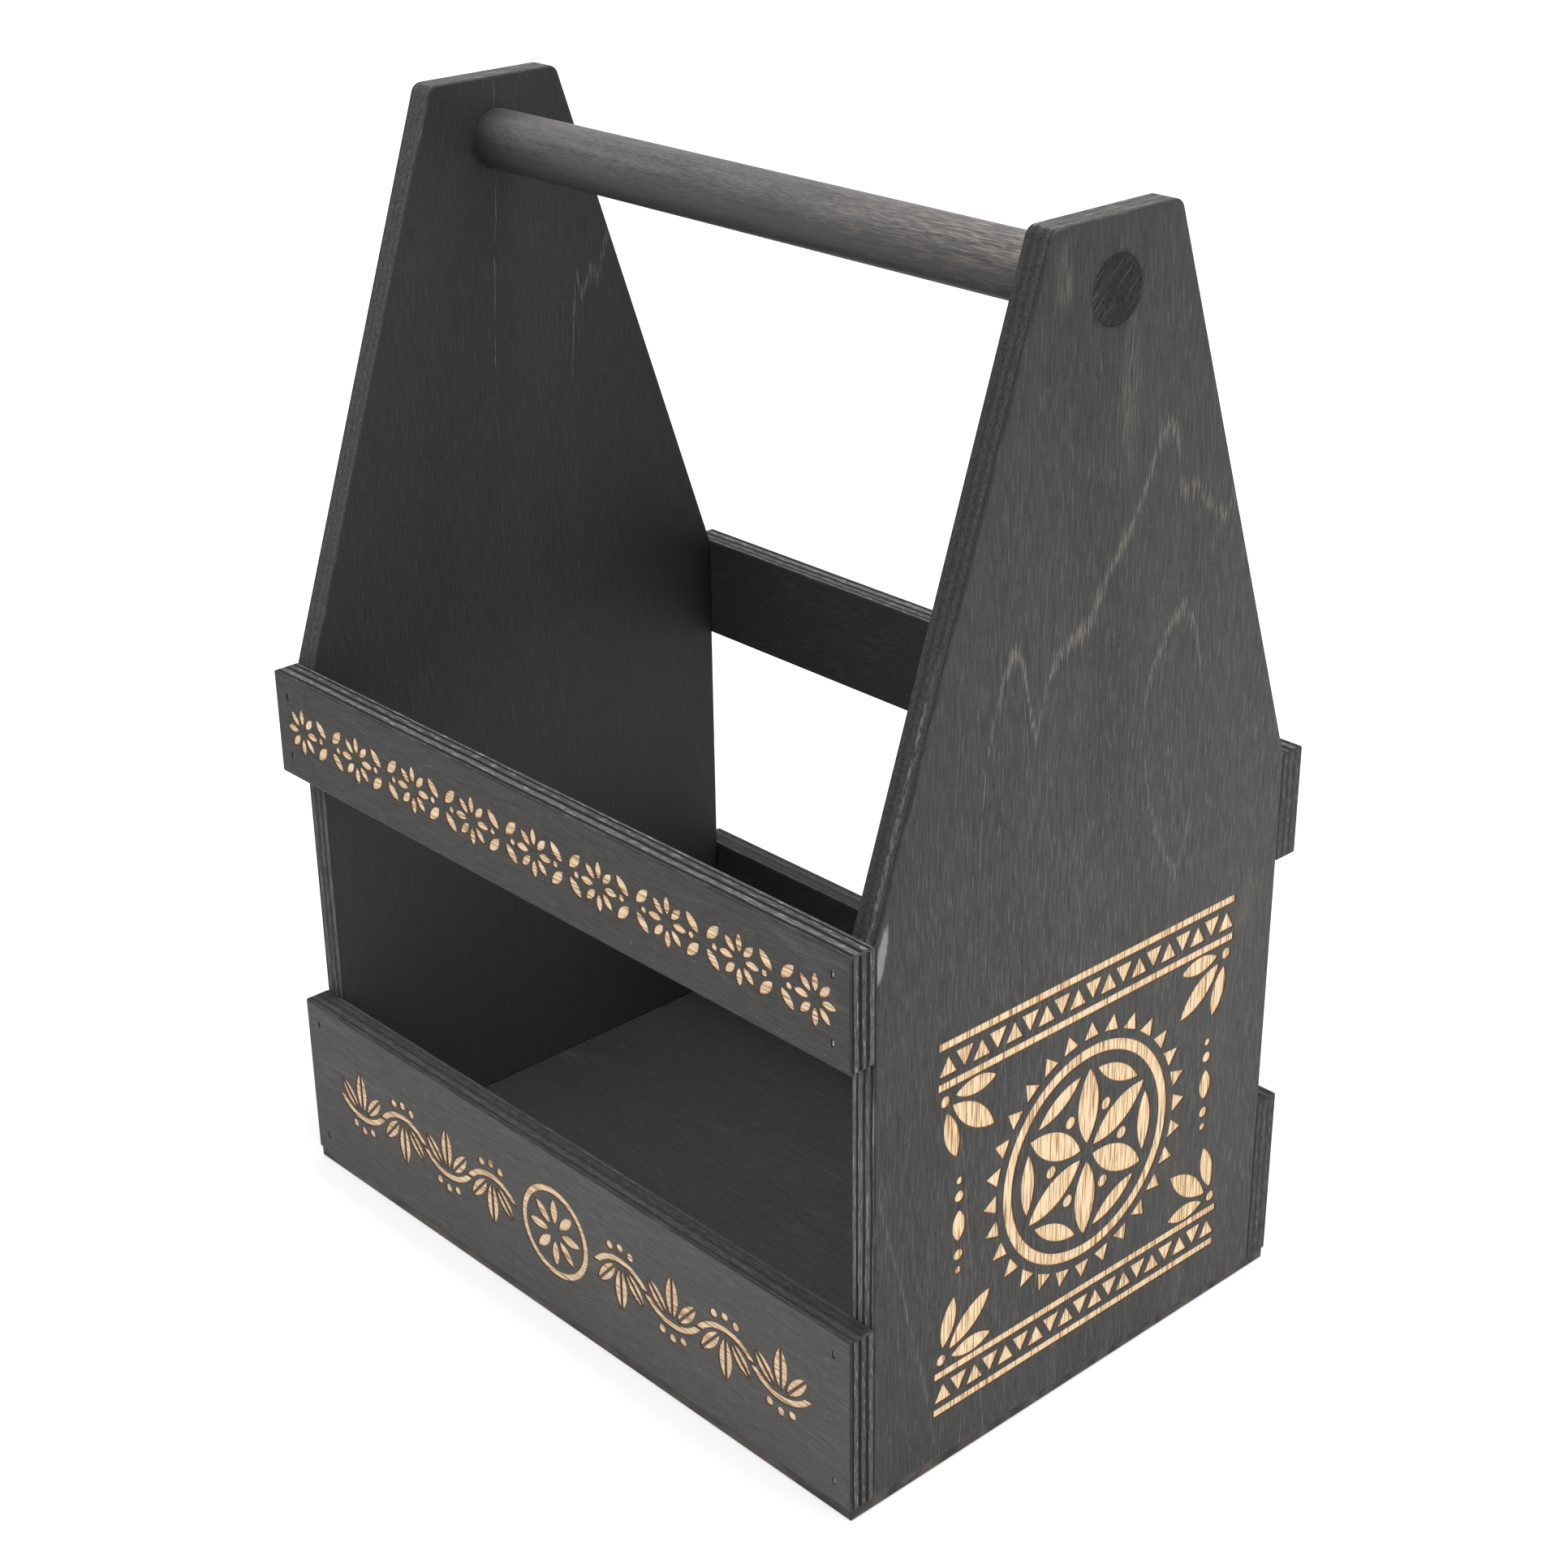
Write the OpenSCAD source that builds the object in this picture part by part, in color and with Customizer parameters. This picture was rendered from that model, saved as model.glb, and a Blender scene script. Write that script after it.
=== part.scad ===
/* [End panels] */
// Length of the carrier over the outer faces of its two end panels
carrier_l = 232; // [190:1:300]
// Width of an end panel from its front edge to its back edge
panel_w = 148.5; // [130:0.5:190]
// Height of an end panel
panel_h = 311.5; // [270:0.5:360]
// Width of the flat top of an end panel
panel_top_w = 43; // [34:0.5:60]
// Height from an end panel's foot to the shoulder where its sides start to lean in
shoulder_h = 157.5; // [130:0.5:190]
// Thickness of the plywood that the end panels are cut from
panel_t = 8; // [6:0.5:12]
// Radius that rounds the corners of an end panel's outline
panel_corner_r = 3; // [1:0.5:6]

/* [Slats] */
// Thickness of the plywood that the slats are cut from
slat_t = 8; // [5:0.5:12]
// Height of an upper slat, whose top edge is level with the shoulders
upper_slat_h = 31; // [24:0.5:50]
// Height of a lower slat
lower_slat_h = 51.5; // [35:0.5:70]
// Narrow joint between a lower slat and the base board
lower_slat_lift = 0.2; // [0.1:0.1:3]

/* [Base board] */
// Thickness of the base board
base_t = 3; // [2.5:0.5:9]
// How far the base board's edges stay back from the faces above them
base_setback = 0.5; // [0.2:0.1:3]

/* [Handle] */
// Diameter of the round dowel that is the handle
dowel_d = 16.5; // [12:0.5:24]
// Glue gap all round the dowel in the holes of the end panels
dowel_gap = 0.25; // [0.1:0.05:0.6]
// Distance from the top of an end panel down to the dowel's axis
dowel_drop = 17; // [14:0.5:30]

/* [Brads] */
// Length of a brad with its head
brad_l = 25; // [18:1:30]
// Wide side of a brad's flat shank
brad_w = 1.2; // [0.8:0.1:2]
// Narrow side of a brad's flat shank, and of its head
brad_t = 1; // [0.8:0.1:2]
// Width of a brad's head
brad_head_w = 2; // [1.6:0.1:3]
// Thickness of a brad's head
brad_head_t = 1.2; // [0.8:0.1:2]
// How deep a brad's head is sunk below the face that it is driven into
brad_sink = 0.3; // [0.1:0.1:0.8]
// Distance from the outer face of an end panel to the brads driven into its edges
brad_inset = 6; // [2.5:0.5:6]
// Distance from a slat's long edges to the middle of its brads
slat_brad_edge = 6.5; // [4:0.5:10]
// Number of brads up through the base board into each end panel
base_brad_count = 4; // [2:1:6]
// Distance from an end panel's front and back edges to the outermost of those brads
base_brad_edge = 24; // [22:1:40]

/* [Hidden] */

// Colours of the dark stained wood and of the steel
panel_colour = "#4a4948";
slat_colour = "#434244";
base_colour = "#3c3b3a";
dowel_colour = "#514d4b";
steel_colour = "#b9b8b4";

// Number of straight steps in a full circle, for the rounded corners and the dowel
corner_steps = 48;
round_steps = 96;

// How far a cutting shape runs past the face that it opens, which leaves no skin there
past = 1;

// Heights above the surface that the carrier stands on
shoulder_z = base_t + shoulder_h;
upper_slat_z = shoulder_z - upper_slat_h;
lower_slat_z = base_t + lower_slat_lift;
dowel_z = base_t + panel_h - dowel_drop;

// Distances from the middle of the carrier
panel_inner_x = carrier_l / 2 - panel_t;
brad_x = carrier_l / 2 - brad_inset;
panel_edge_y = panel_w / 2;
slat_face_y = panel_edge_y + slat_t;

// Where the brads sit, as heights on the slats and as places along an end panel's foot
upper_brad_z = [upper_slat_z + slat_brad_edge, shoulder_z - slat_brad_edge];
lower_brad_z = [lower_slat_z + slat_brad_edge, lower_slat_z + lower_slat_h - slat_brad_edge];
base_brad_span = panel_w - 2 * base_brad_edge;
base_brad_y = [
    for (i = [0 : base_brad_count - 1])
        -base_brad_span / 2 + i * base_brad_span / (base_brad_count - 1)
];

// Unit vector from point a to point b
function toward(a, b) = (b - a) / norm(b - a);

// Points of an arc that rounds corner p between its neighbours a and b, in turning order
function corner_arc(a, p, b, r) =
    let (
        u = toward(p, a),
        v = toward(p, b),
        half = acos(u * v) / 2,
        centre = p + toward([0, 0], u + v) * r / sin(half),
        first = p + u * r / tan(half) - centre,
        turn = 180 - 2 * half,
        steps = max(2, ceil(corner_steps * turn / 360))
    )
    [
        for (i = [0 : steps])
            let (s = turn * i / steps)
                centre + [
                    first[0] * cos(s) - first[1] * sin(s),
                    first[0] * sin(s) + first[1] * cos(s)
                ]
    ];

// Outline of an end panel, foot at height 0: y across, z up, listed anticlockwise
function panel_outline() =
    let (
        foot = panel_w / 2,
        top = panel_top_w / 2,
        corners = [
            [-foot, 0],
            [foot, 0],
            [foot, shoulder_h],
            [top, panel_h],
            [-top, panel_h],
            [-foot, shoulder_h],
        ],
        n = len(corners)
    )
    concat(
        [corners[0], corners[1]],
        [
            for (i = [2 : n - 1])
                each corner_arc(corners[i - 1], corners[i], corners[(i + 1) % n], panel_corner_r)
        ]
    );

// Room for one brad, or the brad itself, with its head's face at the origin and its
// point up +Z; cut is how far a brad's room opens beyond the head
module brad_shape(cut) {
    translate([-brad_t / 2, -brad_w / 2, 0])
        cube([brad_t, brad_w, brad_l]);
    translate([-brad_t / 2, -brad_head_w / 2, -cut])
        cube([brad_t, brad_head_w, brad_head_t + cut]);
}

// Brads driven through a slat into both end panels, at heights zs, from side -1 or 1
module slat_brad_set(side, zs, cut = 0) {
    for (end = [-1, 1])
        for (z = zs)
            translate([end * brad_x, side * (slat_face_y - brad_sink), z])
                rotate([side * 90, 0, 0])
                    brad_shape(cut);
}

// Brads driven up through the base board into the foot of both end panels
module base_brad_set(cut = 0) {
    for (end = [-1, 1])
        for (y = base_brad_y)
            translate([end * brad_x, y, brad_sink])
                brad_shape(cut);
}

// Room for every brad, opened outwards past the wood
module all_brad_room() {
    for (side = [-1, 1]) {
        slat_brad_set(side, upper_brad_z, past);
        slat_brad_set(side, lower_brad_z, past);
    }
    base_brad_set(past);
}

// One end panel, with its inner face at x = panel_inner_x on the right-hand side
module end_panel() {
    color(panel_colour)
        difference() {
            translate([panel_inner_x, 0, base_t])
                rotate([90, 0, 90])
                    linear_extrude(height = panel_t)
                        polygon(panel_outline());
            translate([panel_inner_x - past, 0, dowel_z])
                rotate([0, 90, 0])
                    cylinder(h = panel_t + 2 * past, d = dowel_d + 2 * dowel_gap, $fn = round_steps);
            all_brad_room();
        }
}

module end_panel_right() {
    end_panel();
}

module end_panel_left() {
    mirror([1, 0, 0])
        end_panel();
}

// A round dowel, cut flush with the outer faces of both end panels
module handle_dowel() {
    color(dowel_colour)
        translate([-carrier_l / 2, 0, dowel_z])
            rotate([0, 90, 0])
                cylinder(h = carrier_l, d = dowel_d, $fn = round_steps);
}

// One slat, laid over the edges of both end panels on side -1 (front) or 1 (back)
module slat(side, z, height) {
    color(slat_colour)
        difference() {
            translate([-carrier_l / 2, side * (panel_edge_y + slat_t / 2) - slat_t / 2, z])
                cube([carrier_l, slat_t, height]);
            all_brad_room();
        }
}

module front_upper_slat() {
    slat(-1, upper_slat_z, upper_slat_h);
}

module front_lower_slat() {
    slat(-1, lower_slat_z, lower_slat_h);
}

module back_upper_slat() {
    slat(1, upper_slat_z, upper_slat_h);
}

module back_lower_slat() {
    slat(1, lower_slat_z, lower_slat_h);
}

// The board that closes the bottom, under the end panels and reaching below the slats
module base_board() {
    length = carrier_l - 2 * base_setback;
    width = 2 * (slat_face_y - base_setback);
    color(base_colour)
        difference() {
            translate([-length / 2, -width / 2, 0])
                cube([length, width, base_t]);
            all_brad_room();
        }
}

module front_upper_slat_brads() {
    color(steel_colour)
        slat_brad_set(-1, upper_brad_z);
}

module front_lower_slat_brads() {
    color(steel_colour)
        slat_brad_set(-1, lower_brad_z);
}

module back_upper_slat_brads() {
    color(steel_colour)
        slat_brad_set(1, upper_brad_z);
}

module back_lower_slat_brads() {
    color(steel_colour)
        slat_brad_set(1, lower_brad_z);
}

module base_brads() {
    color(steel_colour)
        base_brad_set();
}

end_panel_right();
end_panel_left();
handle_dowel();
front_upper_slat();
front_lower_slat();
back_upper_slat();
back_lower_slat();
base_board();
front_upper_slat_brads();
front_lower_slat_brads();
back_upper_slat_brads();
back_lower_slat_brads();
base_brads();
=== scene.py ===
# %% [markdown]
# # A wooden bottle carrier
#
# The real thing is a small nailed box: two house-shaped end panels of birch plywood, a round
# dowel as the handle, two slats on each long side and a thin base board, all stained nearly
# black. A laser has burnt an ornament through the stain, down to the pale wood. The packed
# CAD model says where everything is, so this lesson starts by loading it, and each board is
# then modelled again with softened edges and a real wood surface, in the place of its solid.

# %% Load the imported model
import math

import bpy
from mathutils import Matrix, Vector


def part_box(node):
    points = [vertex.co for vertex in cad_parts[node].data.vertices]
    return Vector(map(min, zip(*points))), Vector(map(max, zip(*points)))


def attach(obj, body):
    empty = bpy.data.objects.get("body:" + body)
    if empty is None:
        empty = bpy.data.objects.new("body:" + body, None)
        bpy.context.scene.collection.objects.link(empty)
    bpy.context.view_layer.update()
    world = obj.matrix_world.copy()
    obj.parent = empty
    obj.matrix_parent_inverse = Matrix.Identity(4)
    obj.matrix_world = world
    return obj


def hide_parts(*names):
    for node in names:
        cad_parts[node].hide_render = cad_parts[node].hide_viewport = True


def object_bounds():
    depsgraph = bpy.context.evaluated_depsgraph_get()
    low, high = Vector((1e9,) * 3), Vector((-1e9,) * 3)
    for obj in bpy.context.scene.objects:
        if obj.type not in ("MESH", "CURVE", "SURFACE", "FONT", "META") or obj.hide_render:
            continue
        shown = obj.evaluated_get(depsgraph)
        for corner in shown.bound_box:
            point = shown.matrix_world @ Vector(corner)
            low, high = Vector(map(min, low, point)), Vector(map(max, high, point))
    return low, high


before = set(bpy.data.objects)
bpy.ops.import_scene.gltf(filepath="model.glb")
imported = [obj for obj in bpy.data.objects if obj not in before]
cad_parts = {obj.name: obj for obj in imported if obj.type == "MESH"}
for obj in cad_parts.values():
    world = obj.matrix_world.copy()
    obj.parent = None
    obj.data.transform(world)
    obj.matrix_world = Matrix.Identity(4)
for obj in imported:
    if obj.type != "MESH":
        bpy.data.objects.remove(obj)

cad_low, cad_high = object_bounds()
print("CAD nodes:", ", ".join(sorted(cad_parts)))
print("CAD box in mm:", [round(1000 * v, 1) for v in cad_high - cad_low])

# %% [markdown]
# ## Camera
#
# A photograph can be rebuilt only from the place it was taken from. The numbers below come
# from fitting the carrier's straight edges to the photograph. The camera looks down a little
# at one corner, so both the long side and the right-hand end show. In Blender a camera looks
# along its own -Z axis, so an unturned one looks straight down. It is rolled a little, tipped
# up from there as far as the elevation leaves, and swung round by the azimuth.

# %% Camera
MM = 0.001
CAMERA_PLACE = Vector((501.34, -457.01, 458.50)) * MM
CAMERA_AZIMUTH, CAMERA_ELEVATION, CAMERA_ROLL = (math.radians(a) for a in (47.341, 25.343, -0.685))
CAMERA_LENS, SENSOR_WIDTH = 62.83, 36

bpy.ops.object.camera_add()
camera = bpy.context.object
camera.name = "photo_camera"
camera.data.lens = CAMERA_LENS
camera.data.sensor_width = SENSOR_WIDTH
camera.data.clip_start = 0.01
turns = ((CAMERA_AZIMUTH, "Z"), (math.pi / 2 - CAMERA_ELEVATION, "X"), (CAMERA_ROLL, "Z"))
camera.matrix_world = Matrix.Translation(CAMERA_PLACE)
for angle, axis in turns:
    camera.matrix_world @= Matrix.Rotation(angle, 4, axis)
bpy.context.scene.camera = camera
print("Camera to origin in mm:", round(CAMERA_PLACE.length / MM))

# %% [markdown]
# ## Colours and nodes
#
# Colours are picked from pictures as sRGB hex values, but a shader wants linear light, so one
# function turns them. A second small function adds a node: its settings are the node's own
# properties, and each input is a number, a colour, or the node that feeds it. A node feeds
# another through the first output that its settings leave in use.

# %% Colour and node helpers
def linear(code):
    """The linear RGBA of an sRGB colour such as #4a4948."""
    parts = [int(code[i:i + 2], 16) / 255 for i in (1, 3, 5)]
    return (*[p / 12.92 if p <= 0.04045 else ((p + 0.055) / 1.055) ** 2.4 for p in parts], 1)


def add(tree, kind, inputs=None, **settings):
    """Adds a node. inputs maps a socket's name or number to a number, hex colour, node or output."""
    node = tree.nodes.new("ShaderNode" + kind)
    for name, value in settings.items():
        setattr(node, name, value)
    for socket, value in (inputs or {}).items():
        if isinstance(value, bpy.types.Node):
            value = next(output for output in value.outputs if output.enabled)
        if isinstance(value, bpy.types.NodeSocket):
            tree.links.new(value, node.inputs[socket])
        else:
            node.inputs[socket].default_value = linear(value) if isinstance(value, str) else value
    return node


def new_material(name):
    """An empty material with its node tree and its Object coordinates."""
    material = bpy.data.materials.new(name)
    material.use_nodes = True
    tree = material.node_tree
    tree.nodes.clear()
    return material, tree, add(tree, "TexCoord").outputs["Object"]


# %% [markdown]
# ## Room, floor and light
#
# A product picture is taken on a white sweep under large soft lamps. The lamps here light a
# surface at about its written colour. The white of the background isn't made with more lamp
# light: what the camera sees of the floor and the world is made white by Light Path. The floor
# needs less of that glow near the carrier, where the lamps reach it, and keeps a soft shadow.
# It lies a hair below the carrier, so that no two faces share a plane.

# %% World
WORLD_LIGHT = 0.48
WHITE = (1, 1, 1, 1)


def seen_by_camera(tree):
    """1 for the rays that show a thing to the camera: straight, mirrored or through glass."""
    path = add(tree, "LightPath")
    seen = path.outputs["Is Camera Ray"]
    for ray in ("Is Glossy Ray", "Is Transmission Ray"):
        seen = add(tree, "Math", {0: seen, 1: path.outputs[ray]}, operation="MAXIMUM")
    return seen


world = bpy.data.worlds.new("studio_room")
world.use_nodes = True
bpy.context.scene.world = world
tree = world.node_tree
tree.nodes.clear()
soft = add(tree, "Background", {"Color": WHITE, "Strength": WORLD_LIGHT})
white = add(tree, "Background", {"Color": WHITE, "Strength": 1.0})
add(tree, "OutputWorld", {"Surface": add(tree, "MixShader", {0: seen_by_camera(tree), 1: soft, 2: white})})
print("World light on the carrier:", WORLD_LIGHT)

# %% Floor
FLOOR_SIZE = 12
FLOOR_DROP = 0.2 * MM
NEAR, FAR = 0.2, 0.9
GLOW_NEAR, GLOW_FAR = 0.42, 0.75
PAPER_GRAINS_PER_METRE = 900

bpy.ops.mesh.primitive_plane_add(size=FLOOR_SIZE, location=(0, 0, -FLOOR_DROP))
floor = bpy.context.object
floor.name = "studio_floor"
floor_paint, tree, place = new_material("white_studio_sweep")
distance = add(tree, "VectorMath", {0: place}, operation="LENGTH")
glow = add(tree, "MapRange", {
    "Value": distance, "From Min": NEAR, "From Max": FAR, "To Min": GLOW_NEAR, "To Max": GLOW_FAR})
paper = add(tree, "TexNoise", {"Vector": place, "Scale": PAPER_GRAINS_PER_METRE})
add(tree, "OutputMaterial", {"Surface": add(tree, "BsdfPrincipled", {
    "Base Color": "#e6e6e6",
    "Roughness": add(tree, "MapRange", {"Value": paper, "To Min": 0.85, "To Max": 0.95}),
    "Specular IOR Level": 0.0,
    "Emission Color": WHITE,
    "Emission Strength": add(tree, "Math", {0: seen_by_camera(tree), 1: glow}, operation="MULTIPLY"),
})})
floor.data.materials.append(floor_paint)
print("Floor in m:", FLOOR_SIZE)

# %% Lamps
def softbox(name, place, target, size, watts):
    """A square area lamp at a place, turned towards a target."""
    bpy.ops.object.light_add(type="AREA", location=place)
    lamp = bpy.context.object
    lamp.name = name
    lamp.data.size = size
    lamp.data.energy = watts
    lamp.rotation_euler = (Vector(place) - Vector(target)).to_track_quat("Z", "Y").to_euler()


CENTRE = (0, 0, 0.15)
BOX_SIZE = 0.9
softbox("overhead_softbox", (0.25, 0.3, 1.45), CENTRE, BOX_SIZE, 15)
softbox("left_front_softbox", (-0.36, -1.07, 1.4), CENTRE, BOX_SIZE, 10)
softbox("right_softbox", (1.5, -0.4, 0.35), CENTRE, BOX_SIZE, 7)

# %% [markdown]
# ## Grain and layers
#
# Wood is a bundle of long vessels, so nearly every mark on it is much longer than wide. One
# noise texture draws them all. A Mapping node of the type Texture takes the size of a mark in
# real millimetres, and the noise is then drawn out along the grain.
#
# Stain is painted as on the bench: a ground colour first, then thin layers that cover it only in
# places. Bands say where a layer covers. A band is a pattern, its value where the layer starts
# and its value where the layer is full, and a share if it covers only in part even there. Where
# a layer has several bands, it covers only where all of them do.

# %% Grain pattern
def grain(tree, place, run, along, across, detail=2.0, turn=(0, 0, 0), shift=0.0):
    """Noise with marks of along by across mm. run is the grain's axis, turn leans it by degrees."""
    size = [across * MM] * 3
    size["xyz".index(run)] = along * MM
    spot = add(tree, "Mapping", {
        "Vector": place,
        "Location": (shift, shift, shift),
        "Rotation": [math.radians(angle) for angle in turn],
        "Scale": size,
    }, vector_type="TEXTURE")
    return add(tree, "TexNoise", {"Vector": spot, "Scale": 1.0, "Detail": detail})


# %% Layers
def cover(tree, *bands):
    """How far a layer covers: the product of its bands, each 0 at its start and its share at its end."""
    product = None
    for pattern, start, full, *share in bands:
        band = add(tree, "MapRange", {
            "Value": pattern, "From Min": start, "From Max": full, "To Max": share[0] if share else 1.0})
        product = band if product is None else add(
            tree, "Math", {0: product, 1: band}, operation="MULTIPLY")
    return product


def lay_over(tree, under, over, *bands):
    """Lays one colour over another where the bands cover it."""
    return add(tree, "Mix", {"Factor": cover(tree, *bands), "A": under, "B": over}, data_type="RGBA")


def fade(tree, place, colour, steps):
    """Tints a colour along an axis. A step is axis, start and end in mm, share at the end, and tone."""
    apart = add(tree, "SeparateXYZ", {0: place})
    for axis, start, end, share, tone in steps:
        colour = lay_over(tree, colour, tone, (apart.outputs[axis], start * MM, end * MM, share))
    return colour


# %% [markdown]
# ## Stained birch veneer
#
# Birch plywood is peeled round the trunk, so its face shows short vessel lines, soft bands, and
# here and there a pale wandering line where the knife cut a growth ring. A thin black stain
# darkens all of it and leaves a trace of tan where the wood drank less. Real vessel lines are
# 0.1 mm wide. They are drawn about 0.3 mm wide, because finer ones would vanish in the picture.
# Stained wood without varnish is matt: it is rough, and its pores swallow part of the shine,
# so the specular level is below the usual 0.5. The upper slats have drunk more stain than the
# lower ones, and all slats get a little darker to the left. The inner faces are darker still,
# which is painted shade of the inside of the box.

# %% Wood finish
WOOD_IOR = 1.45
MATT_SPECULAR = 0.3


def finish_wood(tree, colour, rough, relief=None, specular=MATT_SPECULAR):
    """Adds a wood's shader. rough is a pattern and the roughness where it is 0 and where it is 1,
    relief is the pattern of its bumps, their strength and their depth in mm."""
    pattern, at_zero, at_one = rough
    inputs = {
        "Base Color": colour,
        "Roughness": add(tree, "MapRange", {"Value": pattern, "To Min": at_zero, "To Max": at_one}),
        "IOR": WOOD_IOR,
        "Specular IOR Level": specular,
    }
    if relief:
        height, strength, depth = relief
        inputs["Normal"] = add(tree, "Bump", {
            "Height": height, "Strength": strength, "Distance": depth * MM})
    shader = add(tree, "BsdfPrincipled", inputs)
    add(tree, "OutputMaterial", {"Surface": shader})
    return shader


# %% Stained veneer
STREAK = (0.4, 0.6)
RINGS_PER_SWING = 9.0
DUST = 0.9 * MM


def stained_veneer(name, run, tones, contrast, rings, shift, scratch_turn):
    """A stained veneer face. tones are its dark, light and bare wood. Returns what a figure needs."""
    material, tree, place = new_material(name)
    dark, light, bare = tones
    fine = grain(tree, place, run, 8, 0.26, 3.0, shift=shift)
    strand = grain(tree, place, run, 18, 1.1, 3.0, shift=shift + 0.1)
    broad = grain(tree, place, run, 70, 15, 4.0, shift=shift + 0.2)
    grit = grain(tree, place, run, 0.7, 0.45, 2.0, shift=shift + 0.6)
    blend = 0.0
    for band in ((fine, *STREAK, 0.38 * contrast), (strand, 0.32, 0.68, 0.16 * contrast),
                 (broad, 0.3, 0.7, 0.22), (grit, 0.3, 0.7, 0.3)):
        blend = add(tree, "Math", {0: cover(tree, band), 1: blend}, operation="ADD")
    colour = add(tree, "Mix", {"Factor": blend, "A": dark, "B": light}, data_type="RGBA")

    vessel = grain(tree, place, run, 5, 0.24, 0.0, shift=shift + 0.3)
    colour = lay_over(tree, colour, bare, (vessel, 0.62, 0.78, 0.45 * contrast))
    if rings:
        ring = grain(tree, place, run, 150, 42, 1.0, shift=shift + 0.4)
        ring = add(tree, "Math", {0: ring, 1: RINGS_PER_SWING}, operation="MULTIPLY")
        ring = add(tree, "Math", {0: ring, 1: 1.0}, operation="PINGPONG")
        colour = lay_over(
            tree, colour, bare, (ring, 0.08, 0.0), (fine, *STREAK), (broad, 0.48, 0.64, rings))
    scratch = grain(tree, place, run, 26, 0.4, 0.0, turn=scratch_turn, shift=shift + 0.5)
    colour = lay_over(tree, colour, bare, (scratch, 0.78, 0.85, 0.3))
    dust = add(tree, "TexNoise", {"Vector": place, "Scale": 1 / DUST, "Detail": 0.0})
    colour = lay_over(tree, colour, bare, (dust, 0.83, 0.86, 0.5))
    streak = cover(tree, (fine, *STREAK))
    shader = finish_wood(tree, colour, (streak, 0.72, 0.58), (fine, 0.25, 0.05))
    return material, tree, place, shader, colour, streak


# %% The veneers
PANEL_TONES = ("#292929", "#4c4c4a", "#7f7b74")
# Darker than the outer tones: painted shade of the inside of the box
SHADED_INSIDE_TONES = ("#272727", "#393938", "#5c5955")
UPPER_SLAT_TONES = ("#323231", "#464544", "#726e67")
LOWER_SLAT_TONES = ("#414140", "#5a5957", "#7f7a72")
DARKER_TONE = "#262626"
ACROSS_PANEL, ACROSS_SLAT = (14, 0, 0), (0, -12, 0)

# Grain axis, tones, contrast, strength of the rings, shift of the noise, turn of the scratches
VENEERS = {
    "right_end": ("z", PANEL_TONES, 1.0, 0.0, 0.0, ACROSS_PANEL),
    "left_end": ("z", PANEL_TONES, 1.0, 0.5, 0.7, ACROSS_PANEL),
    "left_inside": ("z", SHADED_INSIDE_TONES, 0.5, 0.0, 1.4, ACROSS_PANEL),
    "right_inside": ("z", SHADED_INSIDE_TONES, 0.5, 0.3, 2.1, ACROSS_PANEL),
    "upper_slat": ("x", UPPER_SLAT_TONES, 0.7, 0.35, 0.2, ACROSS_SLAT),
    "lower_slat": ("x", LOWER_SLAT_TONES, 0.7, 0.35, 0.2, ACROSS_SLAT),
    "slat_inside": ("x", SHADED_INSIDE_TONES, 0.6, 0.3, 0.6, ACROSS_SLAT),
    "base_face": ("x", SHADED_INSIDE_TONES, 0.6, 0.3, 0.8, ACROSS_SLAT),
}
veneers, veneer_nodes = {}, {}
for name, look in VENEERS.items():
    veneers[name], *veneer_nodes[name] = stained_veneer("stained_birch_" + name, *look)
for name in ("upper_slat", "lower_slat"):
    tree, place, shader, colour, _ = veneer_nodes[name]
    colour = fade(tree, place, colour, (("X", 30, -116, 0.22, DARKER_TONE),))
    tree.links.new(colour.outputs["Result"], shader.inputs["Base Color"])
print("Veneers:", ", ".join(veneers))

# %% [markdown]
# ## Figure of the end panels
#
# The right end is the face that is looked at most, and its veneer has a figure of its own: one
# pale line climbs to a peak and falls off again, a closed loop stands below it, and two more
# lines leave through the foot. Each is a height for every place across the board, which is what
# a Float Curve node holds. A line shows only in the vessels, so it is made of short upright
# dashes, and so are a few pale spots of the size of a thumb. The face is darker at the top,
# along the front edge and at the foot, and a little lighter towards the back. Stain ran out of
# the dowel's hole, and one spot by the front arris is rubbed down to the wood. The left end's
# inner face has two fainter lines, and painted shade darkens it towards the back and the top.

# %% Courses of the ring lines
# Points are y across the board and z above the ground, in mm
LONG_RING = (
    (-60, 0), (-43, 0), (-41, 164), (-39, 195), (-36, 206), (-32, 218), (-29, 219), (-26.5, 213),
    (-24.5, 202), (-22, 196), (-20, 204), (-17, 212), (-12, 216), (-5, 219), (1, 230), (10, 241),
    (15, 252), (17, 258), (21, 262), (24.5, 258), (26, 246), (28, 243.5), (32, 244.5), (37, 239),
    (44, 233), (47, 239), (60, 239),
)
LOOP_TOP = (
    (-60, 0), (14, 0), (16, 188), (17, 195), (20, 203), (26, 212), (30.5, 214), (34, 208),
    (37, 199), (39, 186), (40, 0), (60, 0),
)
LOOP_FOOT = (
    (-60, 320), (15.5, 320), (16.5, 184), (20, 166), (25, 152), (32, 141), (36, 152), (39, 182),
    (40, 320), (60, 320),
)
FOOT_LINES = (
    (-75, 98), (-70, 80), (-66, 66), (-62, 50), (-55, 22), (-51, 0), (-45, 100), (-41, 62),
    (-37, 24), (-34, 0), (60, 0),
)
INSIDE_LINE = (
    (-60, 0), (-7, 0), (-5.5, 228), (-4.5, 245), (-3, 268), (-1.5, 284), (0, 320), (60, 320),
)
INSIDE_ZIGZAG = (
    (-60, 0), (21, 0), (22.3, 225), (24, 243), (25.5, 255), (27.5, 247.5), (31, 256), (33.5, 252),
    (37, 263), (60, 320),
)

# %% Ring lines
FIGURE_WIDTH, FIGURE_HEIGHT = 150, 320
RAGGED = 6 * MM
LINE_EDGE, LINE_CORE = 2.6 * MM, 0.4 * MM


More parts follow.
